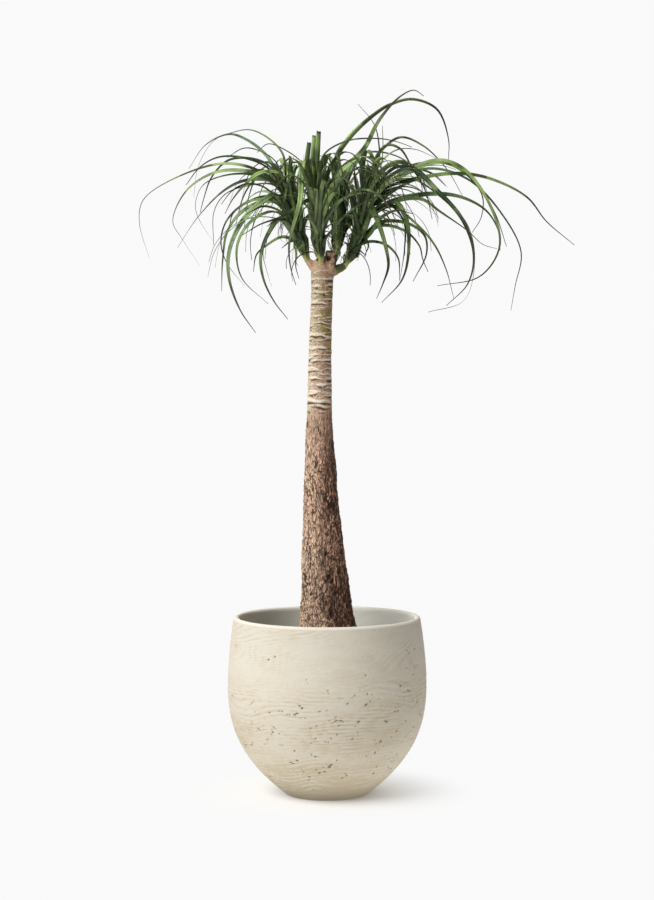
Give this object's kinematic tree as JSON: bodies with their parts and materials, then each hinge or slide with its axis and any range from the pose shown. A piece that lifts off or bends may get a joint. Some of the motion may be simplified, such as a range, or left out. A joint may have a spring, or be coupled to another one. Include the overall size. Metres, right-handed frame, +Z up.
{
  "type": "potted ponytail palm",
  "caption": "Ponytail palm with a tall corky trunk and heads of long, narrow, arching leaves, growing in a round big-bellied planter filled with soil.",
  "frame": {"origin": "middle of the pot's flat foot, on the surface that it stands on", "axes": "+Z up along the trunk, -Y to the front, +X to the right as seen from the front"},
  "size_m": [0.8092, 0.8423, 1.3031],
  "materials": {
    "cast_stone": "matt pale beige cast stone with fine wavy brush lines and small pits",
    "soil": "dark, loose, fibrous potting mix",
    "bark": "corky, cracked into plates below and ringed with pale leaf scars above",
    "leaf": "satin green, ribbed along the blade, yellow-green at the root"
  },
  "bodies": {
    "root": {"pot": "cast_stone", "soil": "soil", "trunk": "bark", "head_left": "leaf", "head_centre": "leaf", "head_right": "leaf", "head_back": "leaf"}
  },
  "joints": []
}
